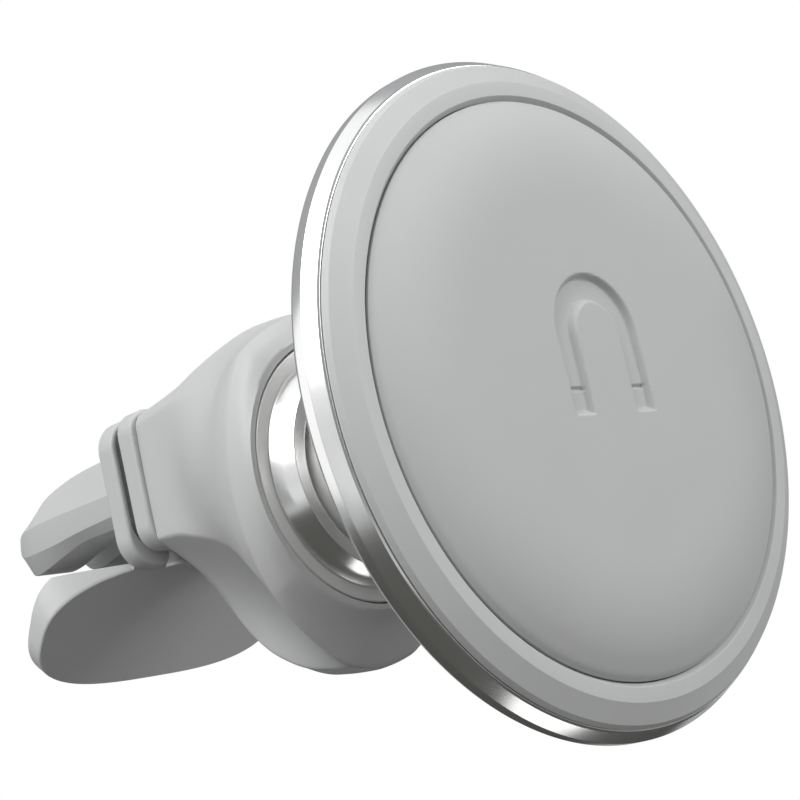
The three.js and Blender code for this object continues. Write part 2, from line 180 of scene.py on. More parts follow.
def edge_rounds(y0, y1, front, back, steps=5):
    """(inset, y) pairs from y0 to y1 that round the two edges of a slab."""
    out = []
    for k in range(steps + 1):
        a = math.pi / 2 * k / steps
        out.append((front * (1 - math.sin(a)), y0 + front * (1 - math.cos(a))))
    for k in range(steps + 1):
        a = math.pi / 2 * (1 - k / steps)
        out.append((back * (1 - math.sin(a)), y1 - back * (1 - math.cos(a))))
    return out


def rounded_box(half, bottom, top, corner, steps=9):
    """A rounded rectangle in X and Z, as (x, z) points."""
    centres = [(half - corner, top - corner), (corner - half, top - corner),
               (corner - half, bottom + corner), (half - corner, bottom + corner)]
    out = []
    for quarter, (cx, cz) in enumerate(centres):
        for k in range(steps + 1):
            a = math.pi / 2 * (quarter + k / steps)
            out.append((cx + corner * math.cos(a), cz + corner * math.sin(a)))
    return out


def slab(name, half, bottom, top, corner, y0, y1, front=0.25, back=0.25):
    """A plate from y0 to y1 with rounded corners, its front and back edges rounded too."""
    rings = []
    for inset, y in edge_rounds(y0, y1, front, back):
        outline = rounded_box(half - inset, bottom + inset, top - inset, corner - inset)
        rings.append([(x, y, z) for x, z in outline])
    return skin(name, rings)


def block(name, low_corner, high_corner, turn=0, about_z=0):
    """A plain cutting box, turned by an angle about X through z = about_z."""
    (x0, y0, z0), (x1, y1, z1) = low_corner, high_corner
    rings = []
    for y in (y0, y1):
        ring = []
        for x, z in ((x0, z0), (x1, z0), (x1, z1), (x0, z1)):
            ring.append((x, y * math.cos(turn) - z * math.sin(turn),
                         y * math.sin(turn) + z * math.cos(turn) + about_z))
        rings.append(ring)
    return skin(name, rings)


def rod(name, radius, y0, y1, at):
    """A sharp-edged round rod along Y through at, which is (x, z)."""
    outline = [(0, y0), (radius, y0), (radius, y1), (0, y1)]
    return lathe(name, outline, steps=48, radius=0.0, at=at)


def combine(obj, operation, *tools):
    """A boolean with each tool in turn, applied to the mesh; the tools are used up."""
    for tool in tools:
        modifier = obj.modifiers.new("boolean", "BOOLEAN")
        modifier.object = tool
        modifier.operation = operation
        modifier.solver = "EXACT"
        graph = bpy.context.evaluated_depsgraph_get()
        made = bpy.data.meshes.new_from_object(obj.evaluated_get(graph))
        obj.modifiers.clear()
        obj.data = made
        bpy.data.objects.remove(tool)
    return obj


def smooth_rows(rows, at):
    """Rows of numbers keyed by their first value, read at `at` on a smooth curve."""
    keys = [row[0] for row in rows]
    k = min(max(bisect.bisect_right(keys, at) - 1, 0), len(rows) - 2)
    span = keys[k + 1] - keys[k]
    t = (at - keys[k]) / span

    def slope(i, j):
        """Slope of column j at row i, from the rows on either side."""
        a, b = max(i - 1, 0), min(i + 1, len(rows) - 1)
        return (rows[b][j] - rows[a][j]) / (keys[b] - keys[a])

    out = []
    for j in range(1, len(rows[0])):
        a, b = rows[k][j], rows[k + 1][j]
        out.append((2 * t**3 - 3 * t**2 + 1) * a + (t**3 - 2 * t**2 + t) * span * slope(k, j)
                   + (3 * t**2 - 2 * t**3) * b + (t**3 - t**2) * span * slope(k + 1, j))
    return out


# ---------------------------------------------------------------- materials
MIX_FACTOR, MIX_A, MIX_B, MIX_RESULT = 0, 6, 7, 2  # the mix node's colour sockets
EDGE_SAMPLES = 4  # rays that round a normal near an edge


class Nodes:
    """A short hand for building one material's node tree."""

    def __init__(self, name):
        """A new material with its shader and object coordinates at hand."""
        self.material = bpy.data.materials.new(name)
        self.material.use_nodes = True
        self.tree = self.material.node_tree
        self.shader = self.tree.nodes["Principled BSDF"]
        self.coords = self.add("ShaderNodeTexCoord").outputs["Object"]

    def add(self, kind, **values):
        """A new node; each value is an input if the node has one of that name, else a setting."""
        node = self.tree.nodes.new(kind)
        for key, value in values.items():
            if key in node.inputs:
                node.inputs[key].default_value = value
            else:
                setattr(node, key, value)
        return node

    def link(self, a, b):
        """Joins output a to input b."""
        self.tree.links.new(a, b)

    def noise(self, scale, detail=3.0, roughness=0.55, stretch=None):
        """Noise with features of about 1/scale metres; stretch scales the coordinates first."""
        node = self.add("ShaderNodeTexNoise", Scale=scale, Detail=detail, Roughness=roughness)
        source = self.coords
        if stretch:
            mapping = self.add("ShaderNodeMapping", Scale=stretch)
            self.link(source, mapping.inputs["Vector"])
            source = mapping.outputs["Vector"]
        self.link(source, node.inputs["Vector"])
        return node.outputs["Fac"]

    def ramp(self, source, *stops):
        """A colour ramp over (place, colour or grey) stops."""
        node = self.add("ShaderNodeValToRGB")
        while len(node.color_ramp.elements) < len(stops):
            node.color_ramp.elements.new(0.5)
        for element, (place, colour) in zip(node.color_ramp.elements, stops):
            element.position = place
            grey = isinstance(colour, (int, float))
            element.color = (colour,) * 3 + (1,) if grey else (*colour, 1)
        self.link(source, node.inputs["Fac"])
        return node.outputs["Color"]

    def mix(self, factor, a, b):
        """A blend from colour a to colour b, each a socket or a plain colour."""
        node = self.add("ShaderNodeMix", data_type="RGBA")
        self.link(factor, node.inputs[MIX_FACTOR])
        for socket, value in ((MIX_A, a), (MIX_B, b)):
            if isinstance(value, bpy.types.NodeSocket):
                self.link(value, node.inputs[socket])
            else:
                node.inputs[socket].default_value = (*value, 1)
        return node.outputs[MIX_RESULT]

    def bump(self, height, strength, distance_mm, below=None):
        """A bump normal, laid over the normal below where there is one."""
        node = self.add("ShaderNodeBump", Strength=strength, Distance=distance_mm * MM)
        self.link(height, node.inputs["Height"])
        if below is not None:
            self.link(below, node.inputs["Normal"])
        return node.outputs["Normal"]

    def edge_wear(self, reach_mm=0.12):
        """1 along edges, 0 on open faces, from how far a rounded normal leans from the real one."""
        rounded = self.add("ShaderNodeBevel", Radius=reach_mm * MM)
        rounded.samples = EDGE_SAMPLES
        geometry = self.add("ShaderNodeNewGeometry")
        lean = self.add("ShaderNodeVectorMath", operation="DOT_PRODUCT")
        self.link(rounded.outputs["Normal"], lean.inputs[0])
        self.link(geometry.outputs["Normal"], lean.inputs[1])
        return self.ramp(lean.outputs["Value"], (0.93, 1.0), (0.995, 0.0))

    def set(self, **values):
        """Plain values for the shader's inputs, with _ for each space in an input's name."""
        for key, value in values.items():
            self.shader.inputs[key.replace("_", " ")].default_value = value


def toned(colour, factor):
    """A colour made darker or paler by a factor."""
    return tuple(min(1, c * factor) for c in colour)


def moulded(name, colour, roughness, grain=1.0):
    """Silver-grey moulded plastic with a fine eroded grain and faint flow mottling."""
    n = Nodes(name)
    mottle = n.noise(140, 4)
    flecks = n.noise(5200, 2, 0.6)
    base = n.mix(n.ramp(mottle, (0.3, 0.0), (0.7, 1.0)), toned(colour, 0.955), colour)
    base = n.mix(n.ramp(flecks, (0.62, 0.0), (0.8, 0.16)), base, toned(colour, 1.25))
    base = n.mix(n.edge_wear(), base, toned(colour, 1.1))
    n.link(base, n.shader.inputs["Base Color"])
    rough = n.ramp(mottle, (0.2, roughness - 0.04), (0.8, roughness + 0.05))
    n.link(rough, n.shader.inputs["Roughness"])
    fine = n.bump(n.noise(9000, 2, 0.7), 0.16 * grain, 0.02)
    n.link(n.bump(mottle, 0.05 * grain, 0.05, fine), n.shader.inputs["Normal"])
    n.set(Specular_IOR_Level=0.42)
    return n.material


def mirror_metal(name, colour, roughness=0.2):
    """Bright plating: a mirror with faint polishing haze and rare fine scratches."""
    n = Nodes(name)
    haze = n.noise(260, 3)
    scratches = n.noise(700, 5, 0.7, (1, 18, 1))
    base = n.mix(n.ramp(haze, (0.35, 0.0), (0.75, 1.0)), colour, toned(colour, 0.97))
    n.link(base, n.shader.inputs["Base Color"])
    scored = n.ramp(scratches, (0.6, 0.0), (0.75, 1.0))
    rough = n.mix(scored, (roughness,) * 3, (roughness + 0.05,) * 3)
    n.link(rough, n.shader.inputs["Roughness"])
    n.link(n.bump(haze, 0.03, 0.02), n.shader.inputs["Normal"])
    n.set(Metallic=1.0)
    return n.material


def turned_metal(name, colour, roughness=0.3, metal=1.0):
    """Satin metal with fine lines left by turning round the Y axis."""
    n = Nodes(name)
    lines = n.noise(30, 4, 0.7, (1, 160, 1))
    patches = n.noise(320, 3)
    base = n.mix(n.ramp(patches, (0.3, 0.0), (0.7, 1.0)), colour, toned(colour, 0.94))
    n.link(base, n.shader.inputs["Base Color"])
    rough = n.ramp(lines, (0.25, roughness - 0.06), (0.75, roughness + 0.08))
    n.link(rough, n.shader.inputs["Roughness"])
    n.link(n.bump(lines, 0.06, 0.02), n.shader.inputs["Normal"])
    n.set(Metallic=metal)
    return n.material


def soft_rubber(name, colour, roughness):
    """Rubber or silicone: matt, faintly dusty, with a soft skin texture."""
    n = Nodes(name)
    cloud = n.noise(90, 4)
    grain = n.noise(6500, 3, 0.6)
    base = n.mix(n.ramp(cloud, (0.3, 0.0), (0.7, 1.0)), toned(colour, 0.96), colour)
    base = n.mix(n.edge_wear(), base, toned(colour, 1.08))
    n.link(base, n.shader.inputs["Base Color"])
    rough = n.ramp(cloud, (0.25, roughness - 0.04), (0.75, roughness + 0.04))
    n.link(rough, n.shader.inputs["Roughness"])
    n.link(n.bump(grain, 0.12, 0.02), n.shader.inputs["Normal"])
    n.set(Specular_IOR_Level=0.36, Sheen_Weight=0.06, Sheen_Roughness=0.45)
    return n.material


MATERIALS = {
    "shell_plastic": moulded("shell_plastic", (0.53, 0.535, 0.53), 0.42),
    "pad_silicone": soft_rubber("pad_silicone", (0.5, 0.505, 0.5), 0.58),
    "bright_chrome": mirror_metal("bright_chrome", (0.93, 0.93, 0.92)),
    "satin_silver": turned_metal("satin_silver", (0.78, 0.78, 0.765), 0.32, 0.4),
    "steel": turned_metal("steel", (0.5, 0.51, 0.53), 0.3),
    "nickel": mirror_metal("nickel", (0.62, 0.62, 0.64), 0.14),
    "nylon": moulded("nylon", (0.72, 0.7, 0.66), 0.5, 0.5),
    "dark_rubber": soft_rubber("dark_rubber", (0.05, 0.05, 0.05), 0.7),
    "jaw_rubber": soft_rubber("jaw_rubber", (0.5, 0.505, 0.5), 0.6),
}
# A CAD node that no piece replaces keeps its solid and takes its slot's material.
SLOT_OF = {part["node"]: part["material_slot"] for part in frame["record"]["subparts"]}
for node_name, node_object in frame["nodes"].items():
    node_object.data.materials.clear()
    node_object.data.materials.append(MATERIALS[SLOT_OF[node_name]])


# ---------------------------------------------------------------- head
def ring_frame(outline):
    """Outline points measured from the front edge of the bright ring."""
    return [(p[0], p[1] + RING_Y, *p[2:]) for p in outline]


# The horseshoe pictogram pressed into the pad: an arch, open below, with a line across each tip.
MARK_Z = 2.5  # centre of the arch
MARK_RADIUS, MARK_HALF_WIDTH = 2.8, 0.8
MARK_LEG = 4.6
MARK_REACH = 7  # nothing of the mark lies further out than this
MARK_DEPTH = 0.38
WALL_START, WALL_WIDTH = 0.12, 0.34
TIP_LINE_UP, TIP_LINE_HALF, TIP_LINE_DEPTH = 1.5, 0.16, 0.45


def mark_depth(x, z):
    """How far the mark is pressed into the pad, as a share of its depth."""
    height = z - MARK_Z
    if height >= 0:
        outside = abs(math.hypot(x, height) - MARK_RADIUS) - MARK_HALF_WIDTH
    else:
        outside = max(abs(abs(x) - MARK_RADIUS) - MARK_HALF_WIDTH, -(height + MARK_LEG))
    t = min(max((WALL_START - outside) / WALL_WIDTH, 0), 1)
    depth = t * t * (3 - 2 * t)
    off_line = abs(height + MARK_LEG - TIP_LINE_UP)
    return depth + TIP_LINE_DEPTH * max(0, 1 - off_line / TIP_LINE_HALF) * (outside < -WALL_START)


LIP_RISE = 0.98  # height of the shell's lip in front of the bright ring
PAD_SINK = 0.12  # how far the pad's rim lies behind the lip
PAD_BACK = -0.1  # the pad's back, measured from the bright ring's front edge
# How far the pad has fallen back at each radius, as a share of its whole fall.
PAD_SHARES = [(0, 0), (10.5, 0), (12.4, 0.03), (13.8, 0.12), (15, 0.28), (15.9, 0.47), (16.5, 0.65),
              (PAD_R - 0.25, 0.84), (PAD_R, 1)]
PAD_STEPS = 360
FACE_RINGS, FACE_RING_STEP = 80, 0.09  # close rings, which hold the mark
SIDE_RINGS, SIDE_START, SIDE_POWER = 30, 10.56, 1.7  # rings that crowd together towards the rim


def make_pad():
    """The silicone cushion: a flat face that rolls over a broad shoulder into its gap."""
    proud = RING_Y - PAD_FRONT
    fall = proud - LIP_RISE + PAD_SINK
    shoulder = [(r, -proud + fall * share) for r, share in PAD_SHARES]
    radii = [FACE_RING_STEP * k for k in range(1, FACE_RINGS + 1)]
    for k in range(1, SIDE_RINGS + 1):
        t = k / SIDE_RINGS
        radii.append(SIDE_START + (PAD_R - SIDE_START) * (1 - (1 - t) ** SIDE_POWER))
    vertices = [(0, PAD_FRONT, 0)]
    for r in radii:
        y = smooth_rows(shoulder, r)[0]
        for k in range(PAD_STEPS):
            a = 2 * math.pi * k / PAD_STEPS
            x, z = r * math.cos(a), r * math.sin(a)
            dent = MARK_DEPTH * mark_depth(x, z) if r < MARK_REACH else 0
            vertices.append((x, RING_Y + y + dent, z))
    for k in range(PAD_STEPS):
        a = 2 * math.pi * k / PAD_STEPS
        vertices.append((PAD_R * math.cos(a), RING_Y + PAD_BACK, PAD_R * math.sin(a)))
    faces = [(0, 1 + k, 1 + (k + 1) % PAD_STEPS) for k in range(PAD_STEPS)]
    last_ring = 1 + len(radii) * PAD_STEPS
    for first in range(1, last_ring, PAD_STEPS):
        for k in range(PAD_STEPS):
            n = (k + 1) % PAD_STEPS
            faces.append((first + k, first + n, first + n + PAD_STEPS, first + k + PAD_STEPS))
    faces.append(tuple(range(last_ring, last_ring + PAD_STEPS)))
    pad = mesh_object("pad_cushion", vertices, faces)
    piece(pad, "pad_silicone", "head", "face_pad", padded=1.0)


HEAD_SCREW_CIRCLE = 13.8  # radius of the circle that the three head screws lie on


def screw_places():
    """(x, z) of the head screws: evenly spaced, the first 30 degrees up from +X."""
    angles = [math.radians(30 + 120 * k) for k in range(3)]
    return [(HEAD_SCREW_CIRCLE * math.cos(a), HEAD_SCREW_CIRCLE * math.sin(a)) for a in angles]


def make_shell():
    """The moulded shell: lip, sloping band, inner web and three screw posts."""
    inner = PAD_R + 0.06  # the lip's inside, a hair off the pad
    web_front, web_back = 0.2, 0.9
    band, rim = 19.86, 19.1  # radii of the sloping band's foot and of the rim inside the ring
    outline = ring_frame([
        (0, web_front), (inner, web_front, 0.1), (inner, -LIP_RISE + 0.3, 0.04),
        (inner + 0.28, -LIP_RISE, 0.05), (18.5, -LIP_RISE, 0.06), (19.66, -0.4, 0.05),
        (band, -0.1, 0.03), (band, -0.05, 0.02), (rim, -0.05, 0.1), (rim, 2.5, 0.2),
        (18.1, 2.5, 0.2), (18.1, web_back, 0.2), (0, web_back)])
    shell = lathe("head_body", outline, steps=240, radius=0.05)
    post = ring_frame([(1, 0.6), (1.7, 0.6), (1.7, 4.2), (1, 4.2)])
    for place in screw_places():
        combine(shell, "UNION", lathe("post", post, steps=32, radius=0.05, at=place))
    piece(shell, "shell_plastic", "head", "head_shell", crease=28)


def make_trim():
    """The bright ring: a flat front edge, then a flare out to its widest part."""
    outline = ring_frame([
        (19.4, 0, 0.05), (RING_R - 0.56, 0, 0.05), (RING_R - 0.44, 0.08, 0.06),
        (RING_R, 0.86, 0.07), (RING_R, 1.5, 0.1), (RING_R - 0.12, 1.72, 0.05), (19.4, 1.72, 0.05)])
    piece(lathe("trim_bezel", outline, steps=288), "bright_chrome", "head", "trim_ring")


HEAD_BACK = 6.0  # back of the screw heads, which stand a little proud of the cover
COUNTERBORE_FLOOR = 5.0


def make_cover():
    """The satin back cover: stepped dish, centre boss and three counterbored screw holes."""
    outline = ring_frame([
        (19.2, 1.79, 0.05), (COVER_R - 0.4, 1.79, 0.05), (COVER_R - 0.35, 1.9, 0.05), (19.3, 2.7, 0.5),
        (18.8, 3.3, 0.5), (17, 4.9, 0.6), (15.8, 5.3, 0.6), (7.2, 5.6, 0.5), (6.2, 5.8, 0.4),
        (5.4, 7.0, 0.3), (5.1, 7.2, 0.15), (1.7, 7.2, 0.1), (1.7, 4.5, 0.1), (16, 4.5, 0.3),
        (18.2, 2.6, 0.3), (19.2, 2.5, 0.1)])
    cover = lathe("back_dish", outline, steps=240)
    beyond = RING_Y + HEAD_BACK
    for place in screw_places():
        hole = rod("cut", 1.1, RING_Y + 4, beyond, place)
        counterbore = rod("cut", 2, RING_Y + COUNTERBORE_FLOOR, beyond, place)
        combine(cover, "DIFFERENCE", hole, counterbore)
    piece(cover, "satin_silver", "head", "back_cover", crease=30)


def make_head_screws():
    """Pan-head screws with a cross recess, in the back cover's counterbores."""
    back, tip = RING_Y + HEAD_BACK, RING_Y + 2
    head, shank = 1.6, 0.7  # radii
    under_head = back - 0.7
    outline = [(0, back), (0.9, back - 0.04), (1.35, back - 0.18), (head, back - 0.45),
               (head, under_head, 0.05), (shank, under_head, 0.05), (shank, RING_Y + 2.4, 0.1),
               (0.35, tip), (0, tip)]
    arm, half = 0.95, 0.2  # of the cross
    for k, (x, z) in enumerate(screw_places(), start=1):
        screw = lathe(f"cover_screw_{k}", outline, steps=48, radius=0.1, at=(x, z))
        for wide, tall in ((arm, half), (half, arm)):
            recess = block("cut", (x - wide, back - 0.4, z - tall), (x + wide, back + 0.2, z + tall))
            combine(screw, "DIFFERENCE", recess)
        piece(screw, "steel", "head", f"head_screw_{k}", crease=30)


# ---------------------------------------------------------------- ball joint and socket
ARC_STEPS = 48


def make_ball_joint():
    """The flared neck, hollowed where it meets the ball, and the ball itself."""
    seat = BALL_R + GAP

    def seat_end(r):
        """Where the neck ends at radius r, a gap in front of the ball."""
        return BALL_Y - math.sqrt(seat**2 - r**2)

    front = low("ball_stem", Y)
    hole, neck = 1.6, 2.8  # radii
    middle = 2.2  # between the two, so that the end follows the ball
    outline = [(hole, front, 0.05), (4.7, front, 0.1), (4.9, front + 0.3, 0.15),
               (4.1, front + 1.3, 1.0), (3.3, front + 2.6, 1.5), (neck, front + 4, 1.2),
               (neck, seat_end(neck), 0.05), (middle, seat_end(middle), 0.0),
               (hole, seat_end(hole), 0.05)]
    stem = lathe("ball_neck", outline, steps=120, corner_steps=6)
    piece(stem, "satin_silver", "stem_body", "ball_stem")
    arc = []
    for k in range(ARC_STEPS + 1):
        a = math.pi * k / ARC_STEPS
        arc.append((BALL_R * math.sin(a) if k % ARC_STEPS else 0, BALL_Y - BALL_R * math.cos(a), 0))
    piece(lathe("ball_sphere", arc, steps=128), "satin_silver", "ball_body", "ball")


def make_socket():
    """The bright collar swells out of the satin ring that closes the housing."""
    narrowest = SEAM_Y - 0.4  # where the ball with its gap sets the collar's bore
    bore = math.sqrt((BALL_R + GAP)**2 - (narrowest - BALL_Y)**2) + 0.05
    mouth, foot = SEAM_Y - 1.6, SEAM_Y - 0.05
    outline = [(bore, foot, 0.05), (bore, SEAM_Y - 1.5, 0.1), (bore + 0.15, mouth, 0.1),
               (7.05, mouth, 0.12), (7.5, SEAM_Y - 0.85, 2.0), (7.84, foot, 0.05)]
    collar = lathe("collar_cone", outline, steps=200, corner_steps=6)
    piece(collar, "bright_chrome", "base", "socket_collar")
    front, back = SEAM_Y + 0.02, SEAM_Y + 1.5
    outline = [(7.0, front, 0.04), (8.64, front, 0.08), (8.7, SEAM_Y + 0.12, 0.05),
               (8.7, back, 0.05), (7.3, back, 0.05)]
    piece(lathe("seam_ring", outline, steps=200), "satin_silver", "base", "socket_ring")


# ---------------------------------------------------------------- housing
# Half sections from the socket to the neck: y, then x and z of the end of the flat top, of the
# side's upper and lower ends and of the keel's edge, z of the bottom, and how far the edges down
# to the side's lower end bow out, and those below it (1 is an arc about the centre line, 0 a
# straight line, and below 0 the edge is hollow).
FLOW = [
    (-19.0, 0, 9.2, 6.2, 6.8, 6.9, -6.1, 2.4, -8.85, -9.15, 1, 1),
    (-18.3, 0, 10.1, 6.6, 7.8, 7.7, -6.7, 2.5, -9.8, -10.1, 0.74, 1),
    (-17.3, 0, 11.0, 6.8, 8.3, 8.1, -7, 2.9, -11.8, -12.35, 0.64, 1),
    (-17.1, 0.1, 11.13, 6.8, 8.25, 8.15, -6.9, 3.0, -12.0, -12.6, 0.64, 0.97),
    (-16.7, 0.4, 11.13, 6.8, 8.1, 8.15, -6.3, 2.9, -12.1, -12.65, 0.66, 0.6),
    (-15.6, 1.2, 11.1, 6.6, 7.7, 8.1, -5, 2.4, -12.1, -12.6, 0.71, 0.05),
    (-14.0, 2.2, 10.9, 6.1, 7.2, 7.6, -3.6, 2.0, -11.9, -12.45, 0.78, -0.3),
    (-12.0, 3, 10.3, 5.7, 7.3, 6.7, -2.7, 1.7, -11.5, -12.1, 0.7, -0.5),
    (-10.0, 3.7, 9.5, 5.4, 7.6, 6.0, -2, 1.5, -10.7, -11.3, 0.5, -0.6),
    (-8.0, 4.1, 8.7, 5.2, 7.7, 5.5, -1.4, 1.4, -9.4, -10, 0.2, -0.6),
    (-6.2, 4.3, 8.3, 5.1, 7.5, 5.3, -0.9, 1.3, -7.5, -8, 0.05, -0.5),
    (-4.0, 4.3, 8.0, 5.1, 7.3, 5.2, -0.7, 1.6, -3.6, -4, 0.05, 0),
]
EDGE_POINTS = 14  # along each edge of the half section
CREASE_REACH, CREASE_SHARE = 0.22, 0.4  # how far a corner's easing reaches along an edge
CROWN, FLAT_TOP = 0.01, 0.3  # rise of the top in the middle, and what its half width gains
SECTIONS = 96
EASING = (0.25, 0.5, 0.75)  # places of the points along a corner's easing


def bowed(a, b, bow, t):
    """The point at share t from corner a to corner b, bowed out from the straight line."""
    radius = math.hypot(*a) * (1 - t) + math.hypot(*b) * t
    angle = math.atan2(*a) * (1 - t) + math.atan2(*b) * t
    arc = (radius * math.sin(angle), radius * math.cos(angle))
    line = (a[0] + (b[0] - a[0]) * t, a[1] + (b[1] - a[1]) * t)
    return tuple(p + (q - p) * bow for p, q in zip(line, arc))


def housing_section(y):
    """One closed ring of points round the housing, each corner eased by a short curve."""
    row = smooth_rows(FLOW, y)
    corners = [(0, row[1] + CROWN), (row[0] + FLAT_TOP, row[1]), (row[2], row[3]),
               (row[4], row[5]), (row[6], row[7]), (0, row[8])]
    bows = [row[9]] * 3 + [row[10]] * 2
    last = len(corners) - 2
    lengths = [max(math.dist(a, b), 0.1) for a, b in zip(corners, corners[1:])]
    reach = [min(CREASE_SHARE, CREASE_REACH / length) for length in lengths]
    half = []
    for k in range(last + 1):
        a, b = corners[k], corners[k + 1]
        start = 0 if k == 0 else reach[k]
        stop = 1 if k == last else 1 - reach[k]
        for i in range(EDGE_POINTS + 1):
            half.append(bowed(a, b, bows[k], start + (stop - start) * i / EDGE_POINTS))
        if k < last:
            here, there = half[-1], bowed(b, corners[k + 2], bows[k + 1], reach[k + 1])
            for t in EASING:
                half.append(tuple(p * (1 - t) ** 2 + q * 2 * t * (1 - t) + r * t**2
                                  for p, q, r in zip(here, b, there)))
    mirrored = [(-x, z) for x, z in half[1:-1]][::-1]
    return [(x, y, z) for x, z in half + mirrored]


# The groove between the neck and the clip base, in which the dark spacer is seen.
GROOVE_SHIFT = 0.25  # the groove lies this much further back than in the solids
GROOVE_FRONT = PLATE_BACK + GROOVE_SHIFT
GROOVE_BACK = BASE_FRONT + GROOVE_SHIFT
CLIP_SCREW_PLACES = ((-2.8, 5.6), (2.8, 5.6))
CLIP_SCREW_HOLE, CLIP_SCREW_HEAD = 1.3, 2.2  # radii of the hole and of its counterbore


def core_room(y0, y1):
    """A pocket for the isolator's core, a hair wider than it."""
    return slab("cut", half=4.8, bottom=-0.1, top=7.9, corner=1.9,
                y0=y0, y1=y1, front=0.01, back=0.01)


def make_housing():
    """The flared body with its keel and rear flange, hollowed for the seat and the clip screws."""
    length = FLOW[-1][0] - SEAM_Y
    rings = [housing_section(SEAM_Y + length * k / SECTIONS) for k in range(SECTIONS + 1)]
    housing = skin("housing_shell", rings)
    flange = slab("flange", half=5.6, bottom=-1.3, top=8.4, corner=1.7,
                  y0=-3.95, y1=GROOVE_FRONT, front=0.22, back=0.1)
    combine(housing, "UNION", flange)
    bore = [(0, SEAM_Y - 1), (8.82, SEAM_Y - 1), (8.82, -17.2), (7.7, -17.2), (7.7, -15.2),
            (6, -15.2), (6, -13), (4.4, -13), (4.4, -10.8), (0, -10.8)]
    seat_room = lathe("cut", bore, steps=200, radius=0.0)
    combine(housing, "DIFFERENCE", seat_room, core_room(PLATE_BACK - 0.9, 0))
    for place in CLIP_SCREW_PLACES:
        counterbore = rod("cut", CLIP_SCREW_HEAD, -15.5, -8.9, place)
        hole = rod("cut", CLIP_SCREW_HOLE, -9, 0, place)
        combine(housing, "DIFFERENCE", counterbore, hole)
    piece(housing, "shell_plastic", "base", "housing", crease=38)


def make_isolator():
    """The dark spacer: a core let into both sides, and a wider band that fills the groove."""
    front, back = low("neck_isolator", Y), high("neck_isolator", Y)
    slack = 0.03
    spacer = slab("neck_spacer", half=4.5, bottom=0.2, top=7.6, corner=1.6,
                  y0=front, y1=back, front=0.1, back=0.1)
    band = slab("band", half=5.2, bottom=-0.75, top=8.0, corner=1.7,
                y0=GROOVE_FRONT + slack, y1=GROOVE_BACK - slack, front=0.05, back=0.05)
    combine(spacer, "UNION", band)
    for place in CLIP_SCREW_PLACES:
        combine(spacer, "DIFFERENCE", rod("cut", CLIP_SCREW_HOLE, -9, 2, place))
    piece(spacer, "dark_rubber", "base", "neck_isolator")


# ---------------------------------------------------------------- clip
FOOT_TURN = math.radians(40)  # the foot's turn from upright, its lower edge towards the vent
FOOT_Z = -1.9  # height of the foot's front face at y = 0
FOOT_HALF, FOOT_DEEP = 10.9, 4.75  # half the foot's width and half its height along the slope
FOOT_RISE = 0.3  # how far the foot's top edge lies above FOOT_Z along the slope
FOOT_TOP_THICK, FOOT_LOW_THICK = 2.7, 1.5
FOOT_STEPS = 144
HEEL_TOP = -1.45
# Powers that shape the foot's outline: 1 is an ellipse, and less is squarer.
FRONT_CORNER, BACK_CORNER, LOWER_CORNER = 0.92, 0.66, 0.67
PEG_X, PEG_Y, PEG_STEPS = 2.2, -1.95, 32
FAR, FAR_Z = 20, 15  # beyond the clip on every side, and above and below it


def foot_thickness(share):
    """The foot's thickness at a share of its height, from 0 at its lower edge to 1 at its top."""
    return FOOT_LOW_THICK + (FOOT_TOP_THICK - FOOT_LOW_THICK) * share**2


def foot_ring(grow, corner, lift):
    """One outline of the foot; lift gives its depth behind the front face at each height."""
    ring = []
    for k in range(FOOT_STEPS):
        a = 2 * math.pi * k / FOOT_STEPS
        cx, cz = math.cos(a), math.sin(a)
        power = corner if cz > 0 else LOWER_CORNER
        px, pz = math.copysign(abs(cx)**power, cx), math.copysign(abs(cz)**power, cz)
        t = lift((pz + 1) / 2)
        w = pz * (FOOT_DEEP + grow) - FOOT_DEEP + FOOT_RISE
        ring.append((px * (FOOT_HALF + grow), t * math.cos(FOOT_TURN) - w * math.sin(FOOT_TURN),
                     t * math.sin(FOOT_TURN) + w * math.cos(FOOT_TURN) + FOOT_Z))
    return ring


def foot_plate(name, grow, start, finish, corners, front, back):
    """The foot between two depths, each a function of height, its edges rounded."""
    rings = []
    for inset, share in edge_rounds(0, 1, front, back):
        corner = corners[0] + (corners[1] - corners[0]) * share

        def lift(height, share=share):
            """Depth of this ring at a height."""
            return start(height) + (finish(height) - start(height)) * share

        rings.append(foot_ring(grow - inset, corner, lift))
    return skin(name, rings)


def flared_peg(x, y):
    """A small moulded post under the neck that spreads where it meets the foot."""
    shape = [(-0.9, 0.45), (-1.4, 0.46), (-1.7, 0.52), (-1.95, 0.68), (-2.1, 0.85), (-2.3, 0.88)]
    angles = [2 * math.pi * k / PEG_STEPS for k in range(PEG_STEPS)]
    rings = []
    for z, radius in shape:
        rings.append([(x + radius * math.cos(a), y + radius * math.sin(a), z) for a in angles])
    return skin("peg", rings)


